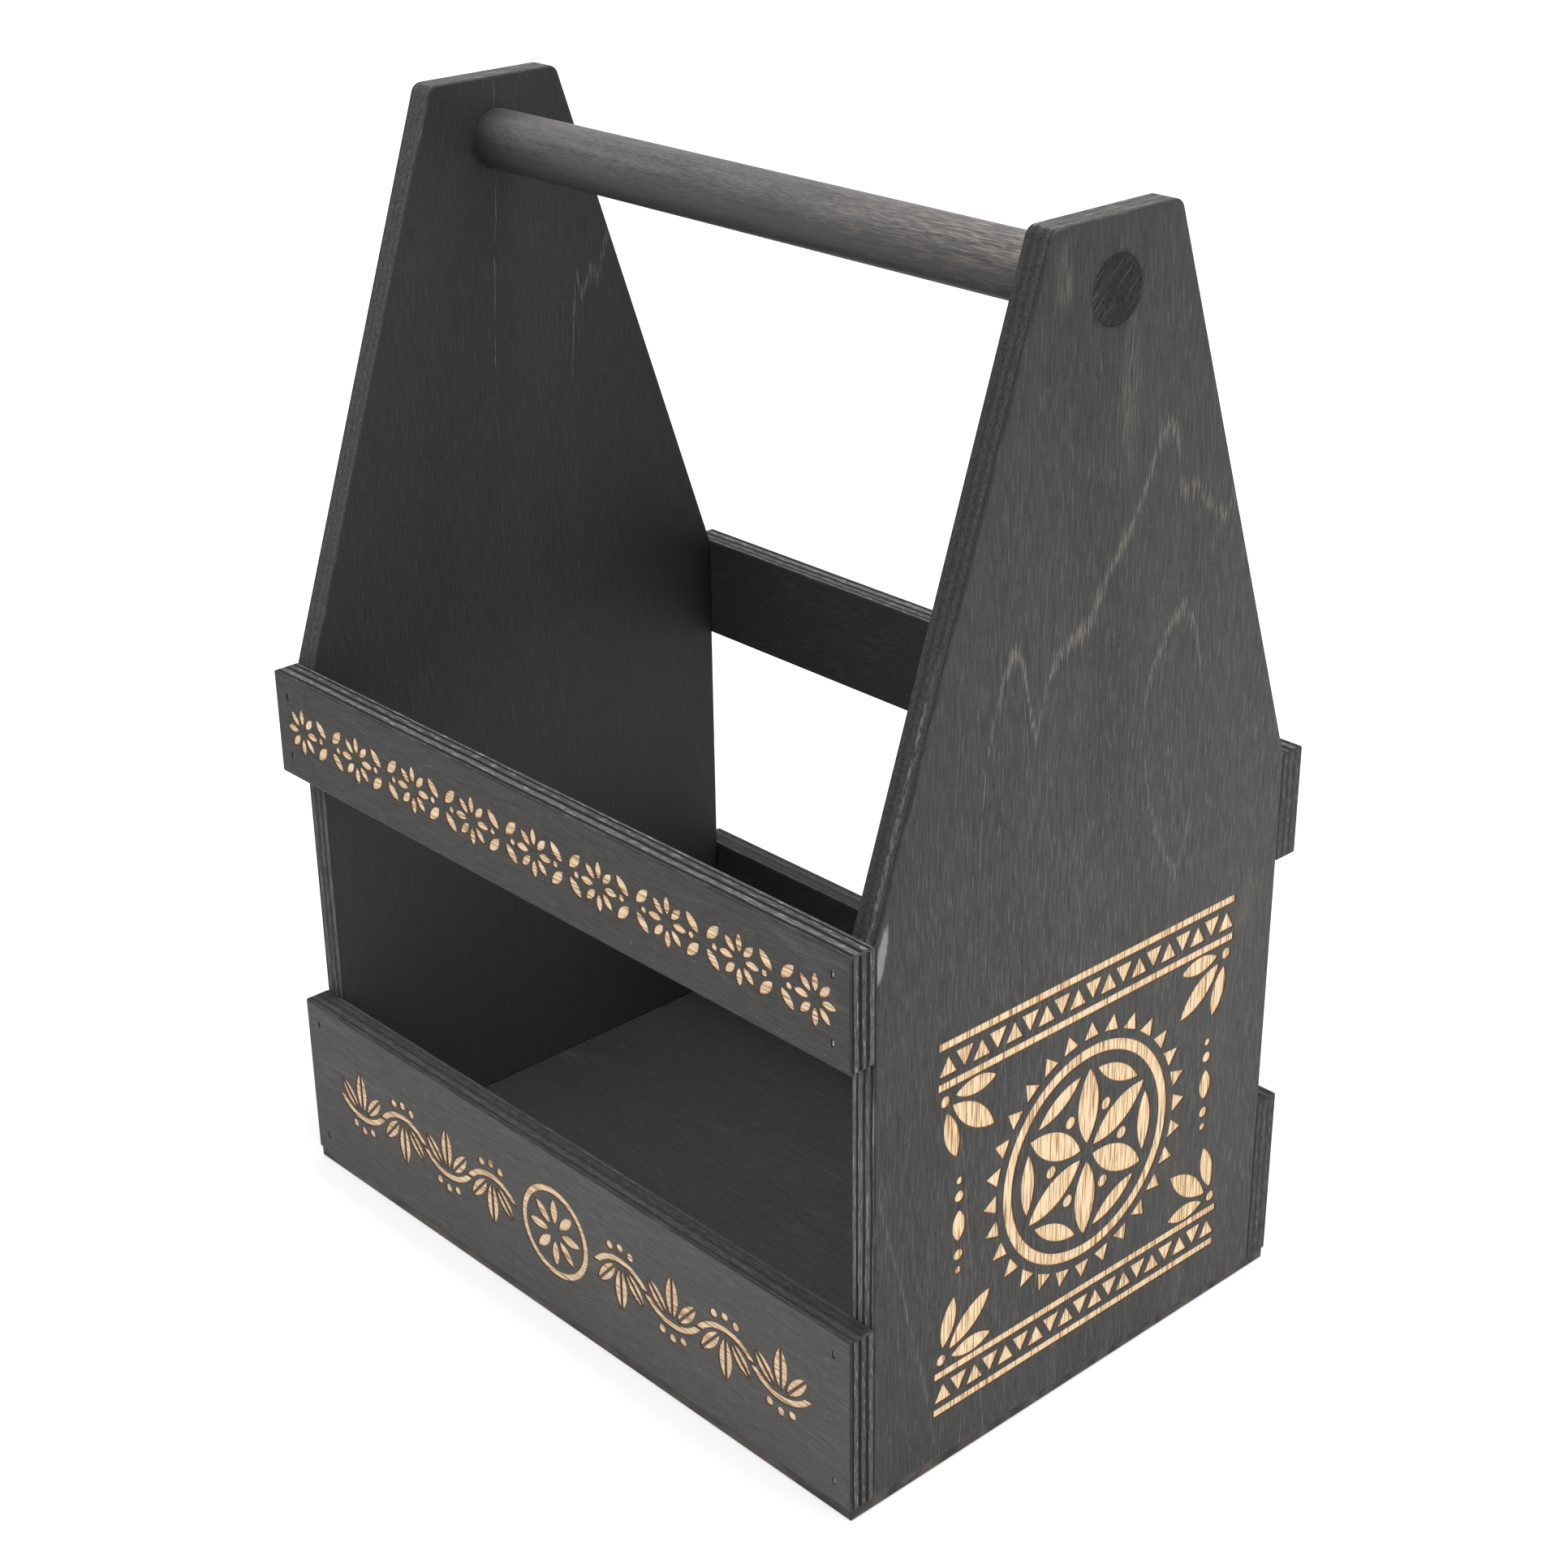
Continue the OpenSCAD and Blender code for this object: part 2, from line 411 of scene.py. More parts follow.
def line_gap(tree, place, points):
    """How far above or below a line a spot on an end panel is, with ragged ends to the dashes."""
    apart = add(tree, "SeparateXYZ", {0: place})
    half_width = FIGURE_WIDTH / 2
    curve = add(tree, "FloatCurve", {
        "Value": cover(tree, (apart.outputs["Y"], -half_width * MM, half_width * MM))})
    line = curve.mapping.curves[0]
    spots = [((y + half_width) / FIGURE_WIDTH, z / FIGURE_HEIGHT) for y, z in points]
    line.points[0].location, line.points[1].location = spots[0], spots[-1]
    for spot in spots[1:-1]:
        line.points.new(*spot)
    for point in line.points:
        point.handle_type = "VECTOR"
    curve.mapping.update()
    height = cover(tree, (curve, 0, 1, FIGURE_HEIGHT * MM))
    gap = add(tree, "Math", {0: apart.outputs["Z"], 1: height}, operation="SUBTRACT")
    ragged = add(tree, "MapRange", {
        "Value": grain(tree, place, "z", 7, 0.4, 1.0), "To Min": -RAGGED, "To Max": RAGGED})
    gap = add(tree, "Math", {0: gap, 1: ragged}, operation="ADD")
    return add(tree, "Math", {0: gap}, operation="ABSOLUTE")


def draw_figure(nodes, tone, lines):
    """Draws ring lines, each with its strength, over a veneer's colour and returns the new colour."""
    tree, place, _, colour, streak = nodes
    for points, strength in lines:
        colour = lay_over(tree, colour, tone, (line_gap(tree, place, points), LINE_EDGE, LINE_CORE),
                          (streak, 0.15, 0.7, strength))
    return colour


# %% Figure and painted shade of the left end's inner face
INSIDE_FIGURE = ((INSIDE_LINE, 0.7), (INSIDE_ZIGZAG, 0.7))
SHADE = "#161616"
tree, place, shader, *_ = veneer_nodes["left_inside"]
colour = draw_figure(veneer_nodes["left_inside"], "#7f7d77", INSIDE_FIGURE)
# Painted shade: darker towards the back and towards the top; a little lighter low down
colour = fade(tree, place, colour, (
    ("Y", 10, 70, 0.85, SHADE), ("Z", 240, 320, 0.3, SHADE), ("Z", 160, 110, 0.3, "#545250")))
tree.links.new(colour.outputs["Result"], shader.inputs["Base Color"])
print("Ring lines on the left end's inner face:", len(INSIDE_FIGURE))

# %% Figure and tone of the right end
RIGHT_FIGURE = ((LONG_RING, 0.8), (LOOP_TOP, 0.6), (LOOP_FOOT, 0.45), (FOOT_LINES, 0.4))
tree, place, shader, *_ = veneer_nodes["right_end"]
colour = draw_figure(veneer_nodes["right_end"], "#8f897e", RIGHT_FIGURE)
# Darker towards the top, the front edge and the foot, and a little lighter towards the back
colour = fade(tree, place, colour, (
    ("Z", 150, 295, 0.43, DARKER_TONE), ("Y", -25, -75, 0.32, DARKER_TONE), ("Y", 0, 60, 0.1, "#6f6b64"),
    ("Z", 45, 5, 0.16, DARKER_TONE)))
print("Ring lines on the right end:", len(RIGHT_FIGURE))

# %% Spots of the right end
# A spot is its middle's y and z, its half width and half height in mm, and its lean in degrees
PALE_SPOTS = ((-17.5, 303, 3.5, 11), (6, 272, 5, 24), (63, 120, 5, 13), (43, 12, 3, 11), (-8, 12, 2, 11))
RUB_MARK = (-72.4, 157, 1.5, 8, -12)
BLOT_UNIT = 6
dowel_low, dowel_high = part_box("handle_dowel")
DOWEL_RADIUS = (dowel_high.z - dowel_low.z) / 2
DOWEL_Z = (dowel_high.z + dowel_low.z) / 2


def oval(tree, place, y, z, half_width, half_height, lean=0.0):
    """Distance from the middle of an oval on an end panel: 1 on its outline."""
    spot = add(tree, "Mapping", {
        "Vector": place,
        "Location": (0, y * MM, z * MM),
        "Rotation": (math.radians(lean), 0, 0),
        "Scale": (1, half_width * MM, half_height * MM),
    }, vector_type="TEXTURE")
    flat = add(tree, "VectorMath", {0: spot, 1: (0, 1, 1)}, operation="MULTIPLY")
    return add(tree, "VectorMath", {0: flat}, operation="LENGTH")


dashes = grain(tree, place, "z", 9, 0.4, 2.0, shift=0.9)
for spot in PALE_SPOTS:
    colour = lay_over(
        tree, colour, "#8a8476", (oval(tree, place, *spot), 1.0, 0.3), (dashes, 0.44, 0.62, 0.34))

hole_edge = DOWEL_RADIUS / (BLOT_UNIT * MM)
blot = add(tree, "Math", {
    0: grain(tree, place, "z", 3, 1.6, 3.0),
    1: oval(tree, place, 0, DOWEL_Z / MM, BLOT_UNIT, BLOT_UNIT),
}, operation="ADD")
colour = lay_over(tree, colour, "#232323", (blot, hole_edge + 0.7, hole_edge + 0.5, 0.7))

frayed = grain(tree, place, "z", 4, 0.6, 3.0)
rub = add(tree, "Math", {0: oval(tree, place, *RUB_MARK), 1: frayed}, operation="ADD")
bare_wood = add(tree, "Mix", {"Factor": frayed, "A": "#6a6864", "B": "#a7a59f"}, data_type="RGBA")
colour = lay_over(tree, colour, bare_wood, (rub, 1.55, 1.25, 0.9))
tree.links.new(colour.outputs["Result"], shader.inputs["Base Color"])
print("Pale spots:", len(PALE_SPOTS), "and a rub mark at y, z in mm:", RUB_MARK[:2])

# %% [markdown]
# ## Plywood edge
#
# Sawn plywood shows its plies. Every other ply meets the edge with its end grain, which drinks
# the stain and goes nearly black, and the plies between lie along the edge and stay grey. A
# colour ramp across the board's thickness draws the plies, a little noise makes their borders
# waver, and short bright flecks of bare fibre run along the light ones. The slanted cuts of an
# end panel cross every ply at an angle, so they are darker and more even, and the right one
# has a rubbed streak on its front slope. Where stain has soaked an edge, its plies are soft.

# %% Plywood edge
BARE_FIBRE = "#a09d97"
OPEN_GRAIN_SPECULAR = 0.12
WAVER = 0.045


def plywood_edge(name, through, run, widths, tones, softness=0.012, flecks=0.8, fleck_length=7):
    """An edge whose plies, with their widths in mm and tones, lie from the outer face inwards."""
    material, tree, place = new_material(name)
    axis, outer, inner = through
    apart = add(tree, "SeparateXYZ", {0: place})
    depth = add(tree, "Math", {0: apart.outputs[axis]}, operation="ABSOLUTE")
    depth = add(tree, "MapRange", {"Value": depth, "From Min": outer, "From Max": inner}, clamp=False)
    waver = add(tree, "MapRange", {
        "Value": grain(tree, place, run, 22, 7, 3.0), "To Min": -WAVER, "To Max": WAVER})
    depth = add(tree, "Math", {0: depth, 1: waver}, operation="ADD")
    ramp = add(tree, "ValToRGB", {0: depth})
    steps = ramp.color_ramp.elements
    steps.remove(steps[1])
    steps[0].position, steps[0].color = 0.0, linear(tones[0])
    border = 0
    for width, tone, next_tone in zip(widths, tones, tones[1:]):
        border += width / sum(widths)
        steps.new(border - softness).color = linear(tone)
        steps.new(border + softness).color = linear(next_tone)

    fibres = grain(tree, place, run, 2.4, 0.3, 3.0)
    shade = add(tree, "MapRange", {
        "Value": fibres, "From Min": 0.3, "From Max": 0.7, "To Min": 0.5, "To Max": 1.45})
    colour = add(tree, "Mix", {"Factor": 1.0, "A": ramp, "B": shade},
                 data_type="RGBA", blend_type="MULTIPLY")
    fleck = grain(tree, place, run, fleck_length, 0.45, 2.0, shift=0.3)
    colour = lay_over(tree, colour, BARE_FIBRE, (fleck, 0.55, 0.7, flecks), (ramp, 0.04, 0.08))
    shader = finish_wood(tree, colour, (fibres, 0.6, 0.85), (fibres, 0.5, 0.1), OPEN_GRAIN_SPECULAR)
    return material, tree, place, shader, colour, depth


# %% The edges
panel_low, panel_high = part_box("end_panel_right")
slat_low, slat_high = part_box("back_upper_slat")
base_low, base_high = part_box("base_board")
PANEL = ("X", panel_high.x, panel_low.x)
SLAT = ("Y", slat_high.y, slat_low.y)
BASE = ("Z", base_low.z, base_high.z)
SHARP_PLIES = (0.8, 0.9, 1.6, 0.9, 1.5, 0.7, 1.3, 0.3)
EVEN_PLIES = (1.1, 1.4, 1.2, 1.3, 1.2, 1.5, 0.3)
LONG_PLIES = (0.8, 1.0, 1.6, 1.2, 1.5, 0.8, 1.1)

# Way through the board, run, ply widths, tones, softness, strength and length of the flecks
EDGES = {
    "panel_ply_right_edge": (
        PANEL, "z", SHARP_PLIES, "#63625f #2c2c2b #585756 #2c2c2b #63625f #1c1c1c #63625f #1c1c1c"),
    "panel_ply_left_edge": (
        PANEL, "z", EVEN_PLIES, "#373736 #525150 #3a3a39 #4b4b4a #343433 #525150 #2f2f2e", 0.03, 0.4),
    "panel_ply_top": (
        PANEL, "y", EVEN_PLIES, "#444342 #535352 #4e4d4c #575651 #4b4b4a #535352 #40403f", 0.04, 0.5),
    "panel_ply_left_slope": (
        PANEL, "z", EVEN_PLIES, "#3a3a39 #454544 #40403f #444443 #414140 #454544 #3b3b3a", 0.04, 0.4),
    "panel_ply_right_slope": (
        PANEL, "z", EVEN_PLIES, "#333332 #404040 #373736 #3e3e3d #353534 #3c3c3b #2b2b2b", 0.04, 0.4),
    "slat_ply_end": (
        SLAT, "z", EVEN_PLIES, "#1b1b1b #575553 #1c1c1c #4e4d4b #252525 #5a5856 #1c1c1c", 0.012, 0.7, 3),
    "slat_ply_soft_end": (
        SLAT, "z", EVEN_PLIES, "#434241 #4b4a49 #3e3e3d #4d4c4b #3d3d3c #4a4948 #40403f", 0.03, 0.5, 3),
    "slat_ply_edge": (
        SLAT, "x", LONG_PLIES, "#474645 #232323 #5f5d5a #232323 #4e4d4b #212121 #5c5b58", 0.012, 1.0, 4),
    "slat_ply_soft_edge": (
        SLAT, "x", LONG_PLIES, "#4a4a49 #323231 #474645 #343433 #3d3d3c #373736 #474645", 0.03, 0.3),
    "base_ply_edge": (BASE, "x", (1, 1, 1), "#3d3d3c #2c2c2b #3d3d3c"),
}
edges, edge_nodes = {}, {}
for name, (through, run, widths, tones, *more) in EDGES.items():
    edges[name], *edge_nodes[name] = plywood_edge(
        "stained_" + name, through, run, widths, tones.split(), *more)
print("Plywood edges:", ", ".join(edges))

# %% Rubbed streak on the right end's front slope
STREAK_FOOT, STREAK_START = 205 * MM, 228 * MM
tree, place, shader, colour, depth = edge_nodes["panel_ply_right_slope"]
apart = add(tree, "SeparateXYZ", {0: place})
colour = lay_over(
    tree, colour, "#7d7a75", (grain(tree, place, "z", 16, 0.6, 3.0), 0.36, 0.62, 0.8),
    (depth, 0.25, 0.31), (depth, 0.45, 0.39), (apart.outputs["Y"], 0, -MM),
    (apart.outputs["Z"], STREAK_START, STREAK_FOOT))
tree.links.new(colour.outputs["Result"], shader.inputs["Base Color"])
print("Streak from", round(STREAK_START / MM), "mm above the ground down to the shoulder")

# %% [markdown]
# ## Worn arris
#
# The edge where two faces of a board meet is called its arris. It is eased with sandpaper
# and then rubbed by hands and by other boards, so the stain is thin there and grey-brown wood
# shows through in patches, most of all along the foot, which scrapes over tables. Its
# material goes on the narrow bevel faces, and on the thin sides of the base board.

# %% Worn arris
PATCH = 14 * MM
worn_arris, tree, place = new_material("worn_stained_arris")
patches = add(tree, "TexNoise", {
    "Vector": place, "Scale": 1 / PATCH, "Detail": 6.0, "Roughness": 0.7})
colour = lay_over(tree, "#292928", "#5c5853", (patches, 0.5, 0.8))
apart = add(tree, "SeparateXYZ", {0: place})
colour = lay_over(tree, colour, "#6f645c", (grain(tree, place, "x", 16, 5, 4.0), 0.42, 0.62),
                  (apart.outputs["Z"], 7 * MM, 4 * MM, 0.45))
finish_wood(tree, colour, (cover(tree, (patches, 0.5, 0.8)), 0.55, 0.72))
print("Made:", worn_arris.name)

# %% [markdown]
# ## Engraved wood
#
# The laser leaves three finishes: clean pale birch on the floor of a groove, with darker
# vessel lines, a scorched brown rim along its outline, and a charred wall.

# %% Engraved wood
SOOT = 1.5 * MM


def engraved_birch(name, run, line_tone, wood_tone, light_tone):
    """Bare birch under the stain, with its vessel lines, its wood and its light parts."""
    material, tree, place = new_material(name)
    fine = grain(tree, place, run, 12, 0.4, 2.0)
    colour = lay_over(tree, wood_tone, light_tone, (fine, 0.42, 0.62))
    colour = lay_over(tree, colour, line_tone, (fine, 0.47, 0.37, 0.9))
    finish_wood(tree, colour, (fine, 0.8, 0.7), (fine, 0.4, 0.1))
    return material


def burnt_wood(name, dark_tone, light_tone):
    """Wood browned or charred by the laser, or blackened by stain that stood in a hole."""
    material, tree, place = new_material(name)
    soot = add(tree, "TexNoise", {"Vector": place, "Scale": 1 / SOOT, "Detail": 3.0})
    colour = add(tree, "Mix", {"Factor": soot, "A": dark_tone, "B": light_tone}, data_type="RGBA")
    finish_wood(tree, colour, (soot, 0.7, 0.9))
    return material


panel_engraved = engraved_birch("engraved_birch_panel", "z", "#8f6946", "#f6cfa0", "#fbe6c1")
slat_engraved = engraved_birch("engraved_birch_slat", "x", "#8f6f4c", "#e2c09a", "#fbe3c2")
scorched_rim = burnt_wood("scorched_birch_rim", "#6b4a2f", "#a87c50")
charred_wall = burnt_wood("charred_birch_wall", "#3a2a1e", "#6e4a2d")
dark_wall = burnt_wood("stain_soaked_hole_wall", "#161616", "#2c2b2a")
print("Made:", panel_engraved.name, slat_engraved.name, scorched_rim.name, charred_wall.name)

# %% [markdown]
# ## Dowel and steel
#
# The handle is a turned rod of solid wood, sanded finer than the boards and rubbed by hands, so
# it shines a little more. Its lines run along it. Its colour also holds painted light: its
# underside is darker as painted shade under light from above, pale fibres show only towards its
# right end as a painted highlight, and painted shade darkens it where it leaves the left panel.
# On its cut ends the saw has left slanting marks. The brads are steel wire, and the stain that
# was wiped over them has left dull spots.

# %% Dowel
SANDED_SPECULAR = 0.45
dowel_side, tree, place = new_material("stained_dowel_side")
apart = add(tree, "SeparateXYZ", {0: place})
fine = grain(tree, place, "x", 2.6, 0.32, 3.0)
strand = grain(tree, place, "x", 24, 1.7, 4.0, shift=0.2)
blend = add(tree, "Math", {
    0: cover(tree, (fine, 0.36, 0.64, 0.6)), 1: cover(tree, (strand, 0.34, 0.66, 0.4))}, operation="ADD")
colour = add(tree, "Mix", {"Factor": blend, "A": "#363636", "B": "#646261"}, data_type="RGBA")
bare = grain(tree, place, "x", 6, 0.4, 3.0, shift=0.5)
# Pale fibres show only towards the right end: a painted highlight of the light from the right
colour = lay_over(
    tree, colour, "#8f867b", (bare, 0.48, 0.62), (apart.outputs["X"], 10 * MM, 80 * MM, 0.75))
# Painted shade: the underside is darker, as under light from above
colour = lay_over(tree, colour, "#232323", (
    apart.outputs["Z"], DOWEL_Z + 0.65 * DOWEL_RADIUS, DOWEL_Z - 0.1 * DOWEL_RADIUS, 0.68))
# Painted shade where the rod leaves the left panel
colour = lay_over(tree, colour, "#262625", (apart.outputs["X"], -90 * MM, -106 * MM, 0.75))
finish_wood(tree, colour, (fine, 0.45, 0.62), (fine, 0.4, 0.08), SANDED_SPECULAR)
print("Dowel radius in mm:", round(DOWEL_RADIUS / MM, 2))

# %% Dowel end
SAW_TURN = -48
dowel_end, tree, place = new_material("stained_dowel_end")
saw_marks = grain(tree, place, "z", 9, 0.4, 2.0, (SAW_TURN, 0, 0))
pores = grain(tree, place, "z", 0.9, 0.6, 3.0, shift=0.4)
colour = lay_over(tree, "#1a1a1a", "#353534", (pores, 0.3, 0.7))
colour = lay_over(tree, colour, "#5f5f5c", (saw_marks, 0.56, 0.72, 0.7))
finish_wood(tree, colour, (pores, 0.6, 0.8), (saw_marks, 0.4, 0.1), OPEN_GRAIN_SPECULAR)
print("Saw marks lean by degrees:", SAW_TURN)

# %% Brad steel
brad_steel, tree, place = new_material("brad_steel")
brushed = grain(tree, place, "z", 1.2, 0.1)
stained_spots = grain(tree, place, "z", 1.6, 1.1, 1.0)
metal = add(tree, "Mix", {"Factor": brushed, "A": "#a9a8a4", "B": "#d6d5d1"}, data_type="RGBA")
add(tree, "OutputMaterial", {"Surface": add(tree, "BsdfPrincipled", {
    "Base Color": lay_over(tree, metal, "#6b6967", (stained_spots, 0.6, 0.45)),
    "Metallic": 1.0,
    "Roughness": add(tree, "MapRange", {"Value": brushed, "To Min": 0.3, "To Max": 0.5}),
})})
print("Materials made:", len(bpy.data.materials))

# %% [markdown]
# ## Tools for the boards
#
# Every board starts as a cube primitive at its size and place. Blender's operators act on
# whatever is selected, so each step first deselects everything and then picks faces or edges
# in code, by where they are or which way they point.

# %% Selection tools
def object_mode():
    """Leaves edit mode, if Blender is in it."""
    if bpy.context.mode != "OBJECT":
        bpy.ops.object.mode_set(mode="OBJECT")


def work_on(piece):
    """Makes one piece the only selected and active object, in object mode."""
    object_mode()
    bpy.ops.object.select_all(action="DESELECT")
    piece.select_set(True)
    bpy.context.view_layer.objects.active = piece


def pick(piece, part="FACE", wanted=lambda element: True):
    """Opens a piece in edit mode with only the wanted faces or edges selected, or all faces."""
    work_on(piece)
    bpy.ops.object.mode_set(mode="EDIT")
    bpy.ops.mesh.select_mode(type=part)
    bpy.ops.mesh.select_all(action="DESELECT")
    bpy.ops.object.mode_set(mode="OBJECT")
    for element in piece.data.polygons if part == "FACE" else piece.data.edges:
        element.select = wanted(element)
    bpy.ops.object.mode_set(mode="EDIT")


# %% Board tools
SHARP_ANGLE = 25
SMOOTH_ANGLE = 40


def apply_place(piece):
    """Moves a piece's place, turn and size into its mesh."""
    work_on(piece)
    bpy.ops.object.transform_apply(location=True, rotation=True, scale=True)


def block(name, low, high):
    """A cube primitive between two corners, with its place in its mesh."""
    object_mode()
    bpy.ops.mesh.primitive_cube_add(size=1, location=(low + high) / 2, scale=high - low)
    piece = bpy.context.object
    piece.name = piece.data.name = name
    apply_place(piece)
    return piece


def dress(piece, materials, chosen):
    """Gives a piece its materials, and each face the one whose number chosen(face) says."""
    for material in materials:
        piece.data.materials.append(material)
    for number in range(len(materials)):
        pick(piece, "FACE", lambda face: chosen(face) == number)
        piece.active_material_index = number
        bpy.ops.object.material_slot_assign()
    work_on(piece)


def modify(piece, kind, **settings):
    """Gives a piece a modifier with its settings and applies it."""
    work_on(piece)
    modifier = piece.modifiers.new(kind.lower(), kind)
    for name, value in settings.items():
        setattr(modifier, name, value)
    bpy.ops.object.modifier_apply(modifier=modifier.name)


def ease_arrises(piece, width, arris_number):
    """Rounds every sharp edge by a narrow bevel that has the material of this number."""
    modify(piece, "BEVEL", limit_method="ANGLE", angle_limit=math.radians(SHARP_ANGLE),
           width=width, segments=2, material=arris_number)


def cut_away(piece, cutter, keep=False):
    """Takes a cutter's shape out of a piece. The new walls take the cutter's materials."""
    modify(piece, "BOOLEAN", operation="DIFFERENCE", solver="EXACT", material_mode="TRANSFER",
           object=cutter)
    if not keep:
        bpy.data.objects.remove(cutter)


def smooth_finish(piece):
    """Smooth shading over the small bevels, with the large faces kept flat."""
    work_on(piece)
    bpy.ops.object.shade_smooth_by_angle(angle=math.radians(SMOOTH_ANGLE))
    modify(piece, "WEIGHTED_NORMAL", keep_sharp=True)


# %% [markdown]
# ## Room for the brads
#
# The nail gun sinks each brad a little below the face. The brads are fine as the CAD model
# has them, so they stay, and copies of them serve as the cutters for their own slots. A copy
# of a CAD node is loose triangles, so it is merged first. Its outermost faces are pulled out
# past the wood, which opens the slot, and the copy grows by a hair, which keeps steel and
# wood from sharing a face.

# %% Brad cutters
BRAD_CLEARANCE = 0.03 * MM
OPENING = 2 * MM
MERGE_DISTANCE = 0.001 * MM
TO_FRONT, TO_BACK, DOWN = Vector((0, -1, 0)), Vector((0, 1, 0)), Vector((0, 0, -1))
BRAD_SETS = {
    "front_upper_slat": TO_FRONT, "front_lower_slat": TO_FRONT,
    "back_upper_slat": TO_BACK, "back_lower_slat": TO_BACK,
    "base": DOWN,
}


def brad_cutter(owner):
    """A merged copy of a board's brads with its heads' faces pulled out through the wood."""
    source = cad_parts[owner + "_brads"]
    cutter = source.copy()
    cutter.data = source.data.copy()
    bpy.context.scene.collection.objects.link(cutter)
    cutter.parent = None
    cutter.name = owner + "_brad_cutter"
    cutter.data.materials.clear()
    cutter.data.materials.append(dark_wall)
    outward = BRAD_SETS[owner]
    reach = max(corner.dot(outward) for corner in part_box(owner + "_brads"))
    pick(cutter)
    bpy.ops.mesh.remove_doubles(threshold=MERGE_DISTANCE)
    bpy.ops.mesh.normals_make_consistent(inside=False)
    bpy.ops.transform.shrink_fatten(value=BRAD_CLEARANCE)
    pick(cutter, "FACE", lambda face: face.center.dot(outward) > reach - 0.05 * MM)
    bpy.ops.transform.translate(value=outward * OPENING)
    work_on(cutter)
    return cutter


brad_cutters = {owner: brad_cutter(owner) for owner in BRAD_SETS}
for owner in BRAD_SETS:
    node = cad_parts[owner + "_brads"]
    node.data.materials.clear()
    node.data.materials.append(brad_steel)
print("Brad sets:", len(brad_cutters))

# %% [markdown]
# ## End panels
#
# An end panel is cut from one sheet: straight sides up to the shoulders, then two slanting
# cuts up to a narrow flat top. As on the bench, a full rectangle comes first and two saw
# cuts, here the bisect operator, take off the corners. The two top corners are then
# rounded, the arrises eased, and the dowel's hole is bored. The CAD model leaves a quarter of
# a millimetre round the dowel for glue. Glue and stain fill it on the real thing, so the hole
# drawn here is only a hair wider than the dowel.

# %% End panels
SHOULDER_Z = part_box("front_upper_slat")[1].z
TOP_HALF_WIDTH = 21.5 * MM
CORNER_RADIUS = 3 * MM
ARRIS = 0.45 * MM
HOLE_GAP = 0.05 * MM


def panel_part(face, side):
    """Which material a face takes: 0 outside, 1 inside, 2 upright edge, 4 slanted edge, 5 top."""
    if abs(face.normal.x) > 0.5:
        return 0 if face.normal.x * side > 0 else 1
    return 5 if face.normal.z > 0.9 else 4 if face.normal.z > 0.1 else 2


def end_panel(hand, side):
    """The right or left end panel in the place of its CAD node, on side 1 or -1 of the carrier."""
    low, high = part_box("end_panel_" + hand)
    piece = block(hand + "_end_panel", low, high)
    lean = math.atan2(high.y - TOP_HALF_WIDTH, high.z - SHOULDER_Z)
    for direction in (-1, 1):
        pick(piece)
        bpy.ops.mesh.bisect(
            plane_co=(0, direction * high.y, SHOULDER_Z),
            plane_no=(0, direction * math.cos(lean), math.sin(lean)),
            use_fill=True, clear_outer=True)

    def at_top_corner(edge):
        """Whether both ends of an edge lie at the same end of the flat top."""
        first, second = (piece.data.vertices[v].co.y for v in edge.vertices)
        return abs(abs(first) - TOP_HALF_WIDTH) < 0.01 * MM and abs(first - second) < 0.01 * MM

    pick(piece, "EDGE", at_top_corner)
    turn = math.pi / 2 - lean
    bpy.ops.mesh.bevel(offset=CORNER_RADIUS * math.tan(turn / 2), segments=6, affect="EDGES")
    work_on(piece)
    dress(piece, (veneers[hand + "_end"], veneers[hand + "_inside"], edges[f"panel_ply_{hand}_edge"],
                  worn_arris, edges[f"panel_ply_{hand}_slope"], edges["panel_ply_top"]),
          lambda face: panel_part(face, side))
    ease_arrises(piece, ARRIS, 3)
    return piece


panels = {"right": end_panel("right", 1), "left": end_panel("left", -1)}
print("Panel faces before boring:", len(panels["right"].data.polygons))

# %% Bore the dowel's holes
DRILL_PAST = 5 * MM


def rod(name, radius, half_length, z):
    """A cylinder primitive along X."""
    object_mode()
    bpy.ops.mesh.primitive_cylinder_add(vertices=96, radius=radius, depth=2 * half_length,
                                        location=(0, 0, z), rotation=(0, math.pi / 2, 0))
    piece = bpy.context.object
    piece.name = piece.data.name = name
    apply_place(piece)
    return piece


for panel in panels.values():
    drill = rod("drill", DOWEL_RADIUS + HOLE_GAP, cad_high.x + DRILL_PAST, DOWEL_Z)
    drill.data.materials.append(dark_wall)
    cut_away(panel, drill)
    for owner in BRAD_SETS:
        cut_away(panel, brad_cutters[owner], keep=True)
print("Panel faces after boring:", len(panels["right"].data.polygons))

# %% [markdown]
# ## Handle dowel
#
# The dowel is a cylinder with its ends eased. It is cut flush with the outer faces of both
# panels, so its cut ends show there.

# %% Handle dowel
HANDLE_ARRIS = 0.12 * MM
handle = rod("handle_rod", DOWEL_RADIUS, dowel_high.x, DOWEL_Z)
dress(handle, (dowel_side, dowel_end), lambda face: 1 if abs(face.normal.x) > 0.5 else 0)
ease_arrises(handle, HANDLE_ARRIS, 1)
smooth_finish(handle)
print("Handle faces:", len(handle.data.polygons))

# %% [markdown]
# ## Slats and base board
#
# These five boards are plain rectangles of plywood. The slats lie over the edges of the end
# panels, and the base board closes the bottom. Its thin sides scrape over tables, so they take
# the worn finish, and its arrises are black with soaked stain. Its rough underside drinks stain
# as a sawn edge does, so it takes the finish of one.

# %% Slats and base board
BASE_ARRIS = 0.2 * MM
SLATS = [owner for owner in BRAD_SETS if owner != "base"]
boards = {}


def slat_part(face, side):
    """Which material a slat's face takes: 0 outside, 1 inside, 2 long edge, 4 cut end."""
    if abs(face.normal.y) > 0.5:
        return 0 if face.normal.y * side > 0 else 1
    return 4 if abs(face.normal.x) > 0.5 else 2


